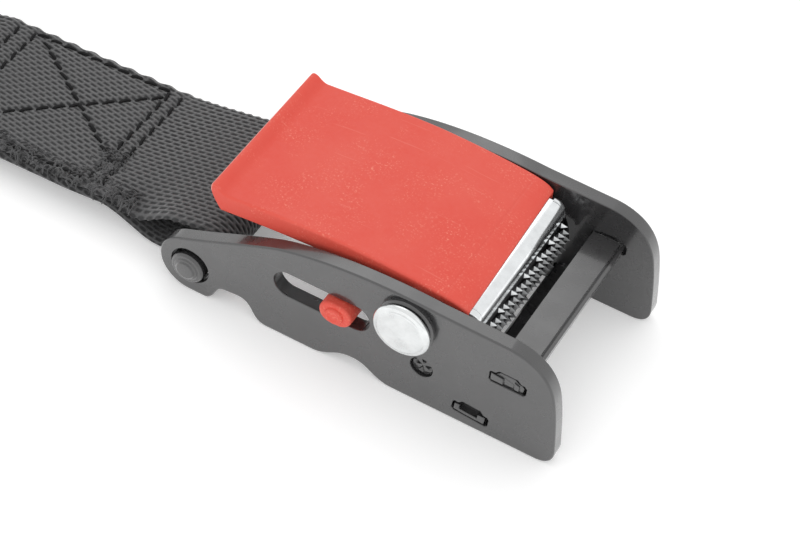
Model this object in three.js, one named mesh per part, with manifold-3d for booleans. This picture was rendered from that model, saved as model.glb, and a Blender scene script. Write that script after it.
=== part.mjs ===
// Cam-lever tie-down buckle with a sewn webbing strap.
// Millimetres, +Z up, +X towards the open mouth of the buckle, Y across the webbing.
// The origin is on the ground under the middle of the whole object.
import * as THREE from 'three';
import * as BufferGeometryUtils from 'three/addons/utils/BufferGeometryUtils.js';
import Module from 'manifold-3d';

const wasm = await Module();
wasm.setup();

// ---- Driving dimensions ----

const GAP = 0.15;                  // running clearance between neighbouring pieces
const SEGMENTS = 32;               // sides of a turned piece
const PIN_SEGMENTS = 24;           // sides of a plain pin or its socket
const CURVE_STEPS = 10;            // straight steps in each curve of an outline
const WIRE_STEPS = 3;              // steps in each half of a round wire's section

const FRAME_INNER = 20;            // half the distance between the side plates
const PLATE_THICKNESS = 3.2;
const FRAME_OUTER = FRAME_INNER + PLATE_THICKNESS;
const PLATE_TOP = 27.2;
const PLATE_RIGHT = 33.6;
const HEAD_STAND = 2.3;            // how far rivet heads and buttons stand off the plates

const AXLE_Z = 20.4;
const AXLE_RADIUS = 3.2;
const AXLE_HEAD_RADIUS = 6.2;
const WASHER_RADIUS = 5;

const ANCHOR_X = -48.6;
const ANCHOR_Z = 7.1;
const ANCHOR_RADIUS = 3.7;
const ANCHOR_HOLE_RADIUS = 4.3;
const ANCHOR_BOSS_RADIUS = 2.3;
const LOBE_RADIUS = 7.1;           // round end of the plate about the anchor pin

const STOP_X = 4.2;
const STOP_Z = 10.3;
const STOP_RADIUS = 2.3;

const SLOT_LEFT = -29.3;
const SLOT_RIGHT = -7.8;
const SLOT_Z = 15.2;
const SLOT_HEIGHT = 6.4;
const LOCK_X = -14.6;
const BUTTON_LENGTH = 7.2;
const BUTTON_HEIGHT = 5.9;
const LOCK_BAR_RADIUS = 2;

const UPPER_BAR = { x: 22, z: 17.6, tilt: 0, thickness: 3 };
const LOWER_BAR = { x: 15.5, z: 4.6, tilt: -0.08, thickness: 3 };
const BAR_WIDTH = 6;
const KEY_SLOT = { length: 7.7, end: 2.3, middle: 3.6, middleLength: 3.8 };
const TAB_RECESS = 0.5;            // the staked tab ends below the plate's outer face
const TAB_PLAY = 0.5;
const TAB_OFFSET = 0.3;            // the tab sits towards the back of its slot

const LEVER_HALF_WIDTH = 17.4;     // steel cam and arm
const COVER_HALF_WIDTH = 18.8;
const COVER_WALL = 1.2;
const TIP_X = -47;

const WEB_HALF_WIDTH = 17.5;
const WEB_THICKNESS = 1.5;
const STITCH_START = -73.5;        // where the two layers of the loop come together
const STITCH_END = -120;
const ROLL_X = -168;
const ROLL_OUTER = 30;
const ROLL_INNER = 7;
const GROUND_GAP = 0.3;

const OBJECT_LEFT = ROLL_X - ROLL_OUTER;
const ORIGIN_X = (OBJECT_LEFT + PLATE_RIGHT) / 2;

// ---- Materials ----

const blackPaint = { color: 0x2b2b2d, roughness: 0.3, metalness: 0.1 };
const zincPlate = { color: 0xd9dcdf, roughness: 0.25, metalness: 1 };
const springSteel = { color: 0xb4b6b8, roughness: 0.35, metalness: 1 };
const redPlastic = { color: 0xe5594c, roughness: 0.45, metalness: 0 };
const blackWeb = { color: 0x454547, roughness: 0.9, metalness: 0 };
const nylon = { color: 0xe8e6df, roughness: 0.5, metalness: 0 };

const object = new THREE.Group();
object.position.x = -ORIGIN_X;

function addPiece(name, geometry, finish) {
  const mesh = new THREE.Mesh(geometry, new THREE.MeshStandardMaterial(finish));
  mesh.name = name;
  object.add(mesh);
}

// ---- Solid helpers ----

function solidOf(geometry) {
  const bare = geometry.clone();
  bare.deleteAttribute('normal');
  bare.deleteAttribute('uv');
  const merged = BufferGeometryUtils.mergeVertices(bare, 1e-4);
  return new wasm.Manifold(new wasm.Mesh({
    numProp: 3,
    vertProperties: new Float32Array(merged.attributes.position.array),
    triVerts: new Uint32Array(merged.index.array),
  }));
}

function geometryOf(solid) {
  const mesh = solid.getMesh();
  const geometry = new THREE.BufferGeometry();
  geometry.setAttribute('position', new THREE.BufferAttribute(new Float32Array(mesh.vertProperties), 3));
  geometry.setIndex(new THREE.BufferAttribute(new Uint32Array(mesh.triVerts), 1));
  return geometry;
}

// Shape drawn in X and Z, extruded along Y from low to high.
function prism(shape, low, high) {
  const geometry = new THREE.ExtrudeGeometry(shape, {
    depth: high - low, bevelEnabled: false, curveSegments: CURVE_STEPS,
  });
  geometry.rotateX(Math.PI / 2);
  geometry.translate(0, high, 0);
  return geometry;
}

// Turned piece about an axis along Y, from radius and Y pairs that start and end on the axis.
function turned(profile, x, z, segments = SEGMENTS) {
  const points = profile.map(([radius, y]) => new THREE.Vector2(radius, y));
  const geometry = new THREE.LatheGeometry(points, segments);
  geometry.translate(x, 0, z);
  return geometry;
}

function box(xLow, xHigh, yLow, yHigh, zLow, zHigh) {
  const geometry = new THREE.BoxGeometry(xHigh - xLow, yHigh - yLow, zHigh - zLow);
  geometry.translate((xLow + xHigh) / 2, (yLow + yHigh) / 2, (zLow + zHigh) / 2);
  return geometry;
}

function ring(outer, inner, low, high, x, z) {
  return turned([[inner, low], [outer, low], [outer, high], [inner, high], [inner, low]], x, z);
}

function roundHole(x, z, radius) {
  const hole = new THREE.Path();
  hole.absarc(x, z, radius, 0, 2 * Math.PI, true);
  return hole;
}

// Slot or button outline with half-round ends, drawn into a path or shape.
function drawObround(path, xLow, xHigh, z, height) {
  const radius = height / 2;
  path.moveTo(xLow + radius, z - radius);
  path.lineTo(xHigh - radius, z - radius);
  path.absarc(xHigh - radius, z, radius, -Math.PI / 2, Math.PI / 2, false);
  path.lineTo(xLow + radius, z + radius);
  path.absarc(xLow + radius, z, radius, Math.PI / 2, 1.5 * Math.PI, false);
  return path;
}

// Narrow slot with a wider middle, for the staked tabs of the cross bars.
function drawKey(path, bar, grow) {
  const cos = Math.cos(bar.tilt);
  const sin = Math.sin(bar.tilt);
  const half = KEY_SLOT.length / 2 + grow;
  const middle = KEY_SLOT.middleLength / 2 + grow;
  const end = KEY_SLOT.end / 2 + grow;
  const tall = KEY_SLOT.middle / 2 + grow;
  const step = tall - end;
  const outline = [
    [-half, -end], [-middle - step, -end], [-middle, -tall], [middle, -tall],
    [middle + step, -end], [half, -end], [half, end], [middle + step, end],
    [middle, tall], [-middle, tall], [-middle - step, end], [-half, end],
  ];
  outline.forEach(([along, up], index) => {
    const x = bar.x + along * cos - up * sin;
    const z = bar.z + along * sin + up * cos;
    if (index === 0) {
      path.moveTo(x, z);
    } else {
      path.lineTo(x, z);
    }
  });
  path.closePath();
  return path;
}

// ---- Side plates ----

function plateShape() {
  const shape = new THREE.Shape();
  shape.moveTo(ANCHOR_X, ANCHOR_Z - LOBE_RADIUS);
  // small hook behind the anchor lobe
  shape.lineTo(-45.4, 0);
  shape.bezierCurveTo(-42.4, 0, -43.2, 4.4, -40.4, 4.6);
  shape.lineTo(-37.4, 4.9);
  shape.bezierCurveTo(-33.4, 5, -34.6, 0, -30.4, 0);
  // foot under the lock slot, then the finger relief
  shape.lineTo(-20, 0);
  shape.bezierCurveTo(-16, 0, -15, 3.2, -10.6, 3.2);
  shape.bezierCurveTo(-7, 3.2, -6, 0, -1.6, 0);
  shape.lineTo(PLATE_RIGHT - 4.2, 0);
  // leaning end of the mouth and its rounded top corner
  shape.bezierCurveTo(PLATE_RIGHT - 1, 0, PLATE_RIGHT + 0.1, 1.6, PLATE_RIGHT, 4);
  shape.bezierCurveTo(PLATE_RIGHT - 0.3, 9, 33, 14, 32.2, 17.6);
  shape.bezierCurveTo(31.2, 22.4, 28, 26.4, 21.4, 26.9);
  shape.lineTo(6, PLATE_TOP);
  // long fall of the top edge to the anchor lobe
  shape.bezierCurveTo(-6, 28, -19, 27.2, -29, 23.8);
  shape.bezierCurveTo(-37, 20.6, -42, 17.6, -50.6, 13.9);
  shape.bezierCurveTo(-53.4, 12.8, -55.5, 10.6, ANCHOR_X - LOBE_RADIUS, ANCHOR_Z + 0.6);
  shape.absarc(ANCHOR_X, ANCHOR_Z, LOBE_RADIUS, Math.PI, 1.5 * Math.PI, false);
  shape.holes.push(roundHole(0, AXLE_Z, AXLE_RADIUS + GAP));
  shape.holes.push(roundHole(ANCHOR_X, ANCHOR_Z, ANCHOR_HOLE_RADIUS));
  shape.holes.push(roundHole(STOP_X, STOP_Z, STOP_RADIUS + GAP));
  shape.holes.push(drawObround(new THREE.Path(), SLOT_LEFT, SLOT_RIGHT, SLOT_Z, SLOT_HEIGHT));
  shape.holes.push(drawKey(new THREE.Path(), UPPER_BAR, 0));
  shape.holes.push(drawKey(new THREE.Path(), LOWER_BAR, 0));
  return shape;
}

addPiece('side_plate_near', prism(plateShape(), -FRAME_OUTER, -FRAME_INNER), blackPaint);
addPiece('side_plate_far', prism(plateShape(), FRAME_INNER, FRAME_OUTER), blackPaint);

// ---- Cross bars with staked tabs ----

function crossBar(bar) {
  const body = new THREE.Shape();
  const cos = Math.cos(bar.tilt);
  const sin = Math.sin(bar.tilt);
  const halfWidth = BAR_WIDTH / 2;
  const halfThickness = bar.thickness / 2;
  [[-1, -1], [1, -1], [1, 1], [-1, 1]].forEach(([along, up], index) => {
    const x = bar.x + along * halfWidth * cos - up * halfThickness * sin;
    const z = bar.z + along * halfWidth * sin + up * halfThickness * cos;
    if (index === 0) {
      body.moveTo(x, z);
    } else {
      body.lineTo(x, z);
    }
  });
  const tab = drawKey(new THREE.Shape(), { ...bar, x: bar.x - TAB_OFFSET }, -TAB_PLAY);
  const reach = FRAME_OUTER - TAB_RECESS;
  const across = solidOf(prism(body, -FRAME_INNER + GAP, FRAME_INNER - GAP));
  return geometryOf(across.add(solidOf(prism(tab, -reach, reach))));
}

addPiece('upper_bar', crossBar(UPPER_BAR), blackPaint);
addPiece('lower_bar', crossBar(LOWER_BAR), blackPaint);

// ---- Axle, washers, stop pin and anchor pin ----

const underHead = FRAME_OUTER + GAP;
const headTop = FRAME_OUTER + HEAD_STAND;
addPiece('cam_axle', turned([
  [0, -headTop], [AXLE_HEAD_RADIUS - 1.3, -headTop], [AXLE_HEAD_RADIUS - 0.7, -headTop + 0.5],
  [AXLE_HEAD_RADIUS, -headTop + 0.8], [AXLE_HEAD_RADIUS, -underHead - 0.5],
  [AXLE_HEAD_RADIUS - 0.5, -underHead], [AXLE_RADIUS, -underHead],
  [AXLE_RADIUS, underHead], [AXLE_HEAD_RADIUS - 1, underHead],
  [AXLE_HEAD_RADIUS - 1, underHead + 0.9], [AXLE_HEAD_RADIUS - 2.6, headTop], [0, headTop],
], 0, AXLE_Z), zincPlate);

function washer(side) {
  const low = LEVER_HALF_WIDTH + GAP;
  const high = FRAME_INNER - GAP;
  const [from, to] = side > 0 ? [low, high] : [-high, -low];
  return ring(WASHER_RADIUS, AXLE_RADIUS + GAP, from, to, 0, AXLE_Z);
}

addPiece('axle_washer_near', washer(-1), nylon);
addPiece('axle_washer_far', washer(1), nylon);

const STOP_REACH = FRAME_OUTER - 0.2;
addPiece('stop_pin', turned([
  [0, -STOP_REACH], [STOP_RADIUS, -STOP_REACH], [STOP_RADIUS, STOP_REACH], [0, STOP_REACH],
], STOP_X, STOP_Z, PIN_SEGMENTS), blackPaint);

// The anchor pin lies low and back in its larger hole, where the strap pulls it.
const ANCHOR_SAG = 0.25;
const ANCHOR_FACE = FRAME_OUTER + 0.4;
const ANCHOR_BOSS_FACE = FRAME_OUTER + 0.9;
const ANCHOR_CHAMFER = 0.3;
const BOSS_FLARE = 0.2;
addPiece('anchor_pin', turned([
  [0, -ANCHOR_BOSS_FACE], [ANCHOR_BOSS_RADIUS, -ANCHOR_BOSS_FACE],
  [ANCHOR_BOSS_RADIUS + BOSS_FLARE, -ANCHOR_FACE], [ANCHOR_RADIUS - ANCHOR_CHAMFER, -ANCHOR_FACE],
  [ANCHOR_RADIUS, -FRAME_OUTER], [ANCHOR_RADIUS, FRAME_OUTER],
  [ANCHOR_RADIUS - ANCHOR_CHAMFER, ANCHOR_FACE], [ANCHOR_BOSS_RADIUS + BOSS_FLARE, ANCHOR_FACE],
  [ANCHOR_BOSS_RADIUS, ANCHOR_BOSS_FACE], [0, ANCHOR_BOSS_FACE],
], ANCHOR_X - ANCHOR_SAG, ANCHOR_Z - ANCHOR_SAG), blackPaint);

// ---- Cam lever: toothed nose, hub and flat arm ----

const HUB_RADIUS = 6;
const TOOTH_ROWS = 5;
const TOOTH_HEIGHT = 1.2;
const TOOTH_FIRST_ANGLE = 0.16;
const TOOTH_LAST_ANGLE = -0.27;

// Radius of the tooth roots about the axle; the nose grows towards its lower end.
function rootRadius(angle) {
  const share = (TOOTH_FIRST_ANGLE - angle) / (TOOTH_FIRST_ANGLE - TOOTH_LAST_ANGLE);
  return 13.3 + 2.7 * Math.min(1, Math.max(0, share));
}

function camShape() {
  const shape = new THREE.Shape();
  const at = (radius, angle) => [radius * Math.cos(angle), AXLE_Z + radius * Math.sin(angle)];
  // arm, from its free end to the cam's smooth top
  shape.moveTo(-42.4, 22.4);
  shape.bezierCurveTo(-33, 23, -20, 23.2, -11, 22.6);
  // round hub, then the flat underside of the nose that meets the stop pin
  shape.bezierCurveTo(-8.5, 22.4, -7, 21.4, ...at(HUB_RADIUS, Math.PI * 1.1));
  shape.absarc(0, AXLE_Z, HUB_RADIUS, Math.PI * 1.1, Math.PI * 1.9, false);
  shape.lineTo(9.5, 18);
  const step = (TOOTH_FIRST_ANGLE - TOOTH_LAST_ANGLE) / TOOTH_ROWS;
  shape.lineTo(...at(rootRadius(TOOTH_LAST_ANGLE), TOOTH_LAST_ANGLE));
  for (let row = 0; row < TOOTH_ROWS; row += 1) {
    const angle = TOOTH_LAST_ANGLE + step * row;
    shape.lineTo(...at(rootRadius(angle) + TOOTH_HEIGHT, angle + step * 0.35));
    shape.lineTo(...at(rootRadius(angle + step), angle + step));
  }
  shape.bezierCurveTo(13, 24.6, 11.8, 25.4, 9.8, 25.3);
  shape.bezierCurveTo(7, 25.4, 2, 25.5, -4, 25.4);
  shape.bezierCurveTo(-16, 25.6, -30, 25.4, -42.4, 24);
  shape.closePath();
  return shape;
}

const SPRING_POCKET = { halfWidth: 7.5, radius: 4.7, depth: 9 };
const camBlank = solidOf(prism(camShape(), -LEVER_HALF_WIDTH, LEVER_HALF_WIDTH));
const camBore = solidOf(turned([
  [0, -FRAME_INNER], [AXLE_RADIUS + GAP, -FRAME_INNER],
  [AXLE_RADIUS + GAP, -SPRING_POCKET.halfWidth], [SPRING_POCKET.radius, -SPRING_POCKET.halfWidth],
  [SPRING_POCKET.radius, SPRING_POCKET.halfWidth], [AXLE_RADIUS + GAP, SPRING_POCKET.halfWidth],
  [AXLE_RADIUS + GAP, FRAME_INNER], [0, FRAME_INNER],
], 0, AXLE_Z));
const pocketMouth = solidOf(box(
  -SPRING_POCKET.radius, SPRING_POCKET.radius, -SPRING_POCKET.halfWidth, SPRING_POCKET.halfWidth,
  AXLE_Z - SPRING_POCKET.depth, AXLE_Z,
));
addPiece('cam_lever', geometryOf(camBlank.subtract(camBore).subtract(pocketMouth)), zincPlate);

// ---- Red grip cover over the arm ----

// Top line of the cover from its tip lip to the edge over the cam.
function drawCoverTop(shape) {
  shape.bezierCurveTo(TIP_X + 0.4, 27.8, -46, 28.2, -45, 27.4);
  shape.bezierCurveTo(-44.2, 26.7, -43.6, 26, -42.2, 26.1);
  shape.bezierCurveTo(-34, 26.9, -26, 28.1, -16, 28.3);
  shape.bezierCurveTo(-8, 28.4, 0, 27.9, 5, 27.3);
  shape.bezierCurveTo(8, 27, 9.6, 26.6, 10.4, 25.7);
}

function coverShape() {
  const shape = new THREE.Shape();
  shape.moveTo(-44.4, 21.8);
  shape.bezierCurveTo(-46, 21.8, -47.2, 24.6, TIP_X - 0.1, 26.9);
  drawCoverTop(shape);
  shape.lineTo(9.9, 25.65);
  shape.lineTo(-4, 25.75);
  shape.bezierCurveTo(-16, 25.2, -30, 24, -44.4, 21.8);
  return shape;
}

function coverHollow() {
  const shape = new THREE.Shape();
  shape.moveTo(-43.2, 20);
  shape.lineTo(11, 20);
  shape.lineTo(11, 25.65);
  shape.bezierCurveTo(2, 25.85, -2, 25.85, -6, 25.8);
  shape.bezierCurveTo(-18, 26, -32, 25.6, -43.2, 24.3);
  shape.closePath();
  return shape;
}

const coverWidthInside = COVER_HALF_WIDTH - COVER_WALL;
const coverOutside = solidOf(prism(coverShape(), -COVER_HALF_WIDTH, COVER_HALF_WIDTH));
const coverInside = solidOf(prism(coverHollow(), -coverWidthInside, coverWidthInside));
addPiece('lever_cover', geometryOf(coverOutside.subtract(coverInside)), redPlastic);

// ---- Springs ----

// Round wire along a list of points.
function wire(points, radius, steps) {
  const section = new THREE.Shape();
  section.absarc(0, 0, radius, 0, 2 * Math.PI, false);
  return new THREE.ExtrudeGeometry(section, {
    steps, curveSegments: WIRE_STEPS, bevelEnabled: false,
    extrudePath: new THREE.CatmullRomCurve3(points, false, 'centripetal'),
  });
}

// Torsion spring about the axle: one leg bears on the stop pin, the other inside the nose.
function returnSpring() {
  const coilRadius = 3.95;
  const wireRadius = 0.45;
  const turns = 6.5;
  const halfLength = 5.6;
  const perTurn = 12;
  const steps = 84;
  const points = [new THREE.Vector3(0.9, -halfLength, 11.6)];
  points.push(new THREE.Vector3(-1.6, -halfLength, 14.4));
  for (let i = 0; i <= turns * perTurn; i += 1) {
    const angle = Math.PI * 1.25 - (2 * Math.PI * i) / perTurn;
    const y = -halfLength + (2 * halfLength * i) / (turns * perTurn);
    points.push(new THREE.Vector3(
      coilRadius * Math.cos(angle), y, AXLE_Z + coilRadius * Math.sin(angle),
    ));
  }
  points.push(new THREE.Vector3(4.2, halfLength, 18.4));
  return wire(points, wireRadius, steps);
}

addPiece('return_spring', returnSpring(), springSteel);

// Extension spring from the lock bar to the stop pin.
function lockSpring(y) {
  const turns = 9;
  const perTurn = 8;
  const coilRadius = 1.3;
  const wireRadius = 0.4;
  const steps = 72;
  const clear = 0.9;
  const hookLength = 1.6;
  const start = new THREE.Vector3(LOCK_X + LOCK_BAR_RADIUS + clear, y, SLOT_Z);
  const end = new THREE.Vector3(STOP_X - STOP_RADIUS - clear, y, STOP_Z);
  const along = end.clone().sub(start).normalize();
  const side = new THREE.Vector3(0, 1, 0);
  const up = along.clone().cross(side);
  const coilStart = start.clone().addScaledVector(along, hookLength);
  const coilEnd = end.clone().addScaledVector(along, -hookLength);
  const points = [start];
  for (let i = 0; i <= turns * perTurn; i += 1) {
    const angle = (2 * Math.PI * i) / perTurn;
    points.push(coilStart.clone().lerp(coilEnd, i / (turns * perTurn))
      .addScaledVector(side, coilRadius * Math.cos(angle))
      .addScaledVector(up, coilRadius * Math.sin(angle)));
  }
  points.push(end);
  return wire(points, wireRadius, steps);
}

const LOCK_SPRING_Y = 13.5;
addPiece('lock_spring_near', lockSpring(-LOCK_SPRING_Y), springSteel);
addPiece('lock_spring_far', lockSpring(LOCK_SPRING_Y), springSteel);

// ---- Lock bar and its two buttons ----

const BAR_REACH = FRAME_INNER + 1;
addPiece('lock_bar', turned([
  [0, -BAR_REACH], [LOCK_BAR_RADIUS, -BAR_REACH], [LOCK_BAR_RADIUS, BAR_REACH], [0, BAR_REACH],
], LOCK_X, SLOT_Z, PIN_SEGMENTS), zincPlate);

const BUTTON_BACK = FRAME_INNER - 1;
const GROOVE = { outer: 2.3, inner: 1.6, depth: 0.5 };

// Button with a ring groove, from just outside the lever to its face outside the plate.
function button(side) {
  const back = BUTTON_BACK;
  const face = headTop;
  const outline = drawObround(
    new THREE.Shape(), LOCK_X - BUTTON_LENGTH / 2, LOCK_X + BUTTON_LENGTH / 2, SLOT_Z, BUTTON_HEIGHT,
  );
  const [low, high] = side > 0 ? [back, face] : [-face, -back];
  const groove = side > 0 ? [face - GROOVE.depth, face + 1] : [-face - 1, -face + GROOVE.depth];
  const socket = side > 0 ? [back - 1, BAR_REACH + GAP] : [-BAR_REACH - GAP, -back + 1];
  const blank = solidOf(prism(outline, low, high));
  const ringCut = solidOf(ring(
    GROOVE.outer, GROOVE.inner, groove[0], groove[1], LOCK_X, SLOT_Z,
  ));
  const socketRadius = LOCK_BAR_RADIUS + GAP;
  const socketCut = solidOf(turned([
    [0, socket[0]], [socketRadius, socket[0]], [socketRadius, socket[1]], [0, socket[1]],
  ], LOCK_X, SLOT_Z, PIN_SEGMENTS));
  return geometryOf(blank.subtract(ringCut).subtract(socketCut));
}

addPiece('lock_button_near', button(-1), redPlastic);
addPiece('lock_button_far', button(1), redPlastic);

// ---- Webbing: sewn loop about the anchor pin, single run and stored roll ----

const SEAM_START_HEIGHT = 7.6;
const SEAM_FALL = 3.6;

// Height of the middle between the two sewn layers.
function seamHeight(x) {
  const share = (STITCH_START - x) / (STITCH_START - STITCH_END);
  return SEAM_START_HEIGHT - SEAM_FALL * share;
}

const LOOP_CLEARANCE = 0.4;
const loopInner = ANCHOR_RADIUS + LOOP_CLEARANCE;
const loopOuter = loopInner + WEB_THICKNESS;
const LOOP_FOOT = 0.25;            // the lower layer's height where it lies on the ground

// Side line of the loop from the seam over the pin and back; low is its height on the ground.
function loopOutline(path, radius, low, tip) {
  const top = ANCHOR_Z + radius;
  path.moveTo(tip.x, tip.z + tip.half);
  path.bezierCurveTo(-65, tip.z + tip.half + 0.7, -58, top - 0.7, ANCHOR_X - 2, top);
  path.absarc(ANCHOR_X, ANCHOR_Z, radius, Math.PI * 0.62, -Math.PI * 0.62, true);
  path.bezierCurveTo(-54, ANCHOR_Z - radius, -57, low, -60.5, low);
  path.bezierCurveTo(-65, low, -68, tip.z - tip.half - 1.2, tip.x, tip.z - tip.half);
}

function webbingLoop() {
  const shape = new THREE.Shape();
  const tailTop = seamHeight(STITCH_END) + WEB_THICKNESS;
  const tailLow = seamHeight(STITCH_END) - WEB_THICKNESS;
  const tipHeight = seamHeight(STITCH_START);
  loopOutline(shape, loopOuter, LOOP_FOOT, { x: STITCH_START, z: tipHeight, half: WEB_THICKNESS });
  shape.lineTo(STITCH_END, tailLow);
  shape.lineTo(STITCH_END, tailTop);
  shape.closePath();
  const hole = new THREE.Path();
  const crotch = { x: STITCH_START + 1, z: tipHeight, half: 0.1 };
  loopOutline(hole, loopInner, LOOP_FOOT + WEB_THICKNESS, crotch);
  shape.holes.push(new THREE.Path(hole.getPoints(CURVE_STEPS).reverse()));
  return prism(shape, -WEB_HALF_WIDTH, WEB_HALF_WIDTH);
}

addPiece('webbing_loop', webbingLoop(), blackWeb);

function webbingRun() {
  const shape = new THREE.Shape();
  const start = STITCH_END - GROUND_GAP;
  const top = seamHeight(STITCH_END) + WEB_THICKNESS;
  shape.moveTo(start, top);
  shape.bezierCurveTo(-130, top - 1, -136, WEB_THICKNESS, -146, WEB_THICKNESS);
  shape.lineTo(ROLL_X, WEB_THICKNESS);
  shape.lineTo(ROLL_X, 0);
  shape.lineTo(-146, 0);
  shape.bezierCurveTo(-137, 0, -131, top - 1 - WEB_THICKNESS, start, top - WEB_THICKNESS);
  shape.closePath();
  return prism(shape, -WEB_HALF_WIDTH, WEB_HALF_WIDTH);
}

addPiece('webbing_run', webbingRun(), blackWeb);

addPiece('webbing_roll', ring(
  ROLL_OUTER, ROLL_INNER, -WEB_HALF_WIDTH, WEB_HALF_WIDTH,
  ROLL_X, WEB_THICKNESS + GROUND_GAP + ROLL_OUTER,
), blackWeb);

export default object;
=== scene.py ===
"""Cam-lever tie-down buckle with a sewn webbing strap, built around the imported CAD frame.

Drawing sizes are millimetres. X is measured from the cam axle towards the open mouth, Y across
the webbing and Z up from the ground, and make_piece() moves them into the row frame in metres.
"""
import math
import random

import bmesh
import bpy
from mathutils import Matrix, Vector
from mathutils.geometry import tessellate_polygon


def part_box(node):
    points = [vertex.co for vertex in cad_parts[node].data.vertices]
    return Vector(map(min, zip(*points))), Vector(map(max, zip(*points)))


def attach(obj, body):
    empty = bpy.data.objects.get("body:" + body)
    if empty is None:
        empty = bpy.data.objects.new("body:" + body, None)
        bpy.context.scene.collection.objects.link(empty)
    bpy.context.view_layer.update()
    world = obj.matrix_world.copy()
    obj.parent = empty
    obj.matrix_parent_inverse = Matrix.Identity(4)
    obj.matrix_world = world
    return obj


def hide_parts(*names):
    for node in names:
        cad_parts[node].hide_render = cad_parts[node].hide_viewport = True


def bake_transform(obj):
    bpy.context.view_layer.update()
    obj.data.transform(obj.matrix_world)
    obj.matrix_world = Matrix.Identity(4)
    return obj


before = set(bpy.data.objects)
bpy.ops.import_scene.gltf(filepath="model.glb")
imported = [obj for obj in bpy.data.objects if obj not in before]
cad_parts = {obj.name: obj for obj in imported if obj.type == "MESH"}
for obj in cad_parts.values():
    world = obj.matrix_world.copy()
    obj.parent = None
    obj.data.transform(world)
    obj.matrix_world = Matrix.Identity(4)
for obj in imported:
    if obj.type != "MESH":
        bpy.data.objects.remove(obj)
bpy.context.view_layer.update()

MM = 0.001
TURN = 2 * math.pi
random.seed(7)

# ---- Sizes taken from the frame ----

axle_low, axle_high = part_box("cam_axle")
plate_low, plate_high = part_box("side_plate_near")
pin_low, pin_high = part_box("anchor_pin")
stop_low, stop_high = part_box("stop_pin")
lock_low, lock_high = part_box("lock_bar")
_, cover_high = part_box("lever_cover")
_, lever_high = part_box("cam_lever")
upper_low, upper_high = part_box("upper_bar")
roll_low, roll_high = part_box("webbing_roll")
_, run_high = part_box("webbing_run")
washer_low, washer_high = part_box("axle_washer_far")

AXLE_X = (axle_low.x + axle_high.x) / 2
AXLE_Z = (axle_low.z + axle_high.z) / 2 / MM


def centre(low, high):
    """X and Z of a box's middle in the drawing."""
    return ((low.x + high.x) / 2 - AXLE_X) / MM, (low.z + high.z) / 2 / MM


def half_width(low, high):
    return (high.x - low.x) / 2 / MM


FRAME_OUTER = -plate_low.y / MM
FRAME_INNER = -plate_high.y / MM
PLATE_TOP = 27.2
PLATE_RIGHT = (plate_high.x - AXLE_X) / MM
HEAD_TOP = axle_high.y / MM       # the lock buttons stand as far out as the axle's heads
ANCHOR_PIN_X, ANCHOR_PIN_Z = centre(pin_low, pin_high)
ANCHOR_RADIUS = half_width(pin_low, pin_high)
STOP_X, STOP_Z = centre(stop_low, stop_high)
STOP_RADIUS = half_width(stop_low, stop_high)
LOCK_X, LOCK_Z = centre(lock_low, lock_high)
LOCK_RADIUS = half_width(lock_low, lock_high)
LEVER_HALF = lever_high.y / MM
COVER_HALF = cover_high.y / MM
WEB_HALF = roll_high.y / MM
ROLL_X, ROLL_Z = centre(roll_low, roll_high)
BAR_TOP = upper_high.z / MM
WASHER_RADIUS = half_width(washer_low, washer_high)
SEAM_END = (run_high.x - AXLE_X) / MM

# ---- Mesh helpers ----


class Parts:
    """Vertices and faces of one or more closed shells."""

    def __init__(self):
        self.points = []
        self.faces = []

    def add(self, points, faces):
        first = len(self.points)
        self.points.extend(points)
        self.faces.extend(tuple(first + i for i in face) for face in faces)
        return self


def make_piece(name, parts, material, body, nodes=(), sharp=38, uv=None):
    """A Blender object from drawing millimetres, riding on a CAD body."""
    mesh = bpy.data.meshes.new(name)
    mesh.from_pydata([(AXLE_X + x * MM, y * MM, z * MM) for x, y, z in parts.points], [], parts.faces)
    shape = bmesh.new()
    shape.from_mesh(mesh)
    if uv is not None:
        layer = shape.loops.layers.uv.new("UVMap")
        for face in shape.faces:
            for loop in face.loops:
                loop[layer].uv = uv[loop.vert.index]
    bmesh.ops.recalc_face_normals(shape, faces=shape.faces)
    shape.to_mesh(mesh)
    shape.free()
    mesh.shade_smooth()
    mesh.set_sharp_from_angle(angle=math.radians(sharp))
    mesh.materials.append(material)
    piece = bpy.data.objects.new(name, mesh)
    bpy.context.scene.collection.objects.link(piece)
    weighted = piece.modifiers.new("flat_faces", "WEIGHTED_NORMAL")
    weighted.keep_sharp = True
    if nodes:
        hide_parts(*nodes)
    if body:
        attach(piece, body)
    return piece


class Outline:
    """A closed line in X and Z, drawn with lines, arcs and Bezier curves."""

    STEPS = 20

    def __init__(self, x, z):
        self.points = [(x, z)]

    def line(self, x, z):
        self.points.append((x, z))
        return self

    def curve(self, ax, az, bx, bz, cx, cz):
        x, z = self.points[-1]
        for i in range(1, self.STEPS + 1):
            t = i / self.STEPS
            u = 1 - t
            weights = (u**3, 3 * u * u * t, 3 * u * t * t, t**3)
            self.points.append((
                sum(w * v for w, v in zip(weights, (x, ax, bx, cx))),
                sum(w * v for w, v in zip(weights, (z, az, bz, cz))),
            ))
        return self

    def arc(self, x, z, radius, start, end, steps=24):
        for i in range(steps + 1):
            angle = start + (end - start) * i / steps
            self.points.append((x + radius * math.cos(angle), z + radius * math.sin(angle)))
        return self

    def closed(self, hole=False):
        """Points with no repeats, with the material on the left of the line."""
        kept = []
        for point in self.points:
            if not kept or math.dist(kept[-1], point) > 0.01:
                kept.append(point)
        if math.dist(kept[0], kept[-1]) < 0.01:
            kept.pop()
        area = sum(a[0] * b[1] - b[0] * a[1] for a, b in zip(kept, kept[1:] + kept[:1]))
        if (area > 0) == hole:
            kept.reverse()
        return kept


def circle(x, z, radius, hole=True, steps=48):
    return Outline(x + radius, z).arc(x, z, radius, 0, TURN, steps).closed(hole)


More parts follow.
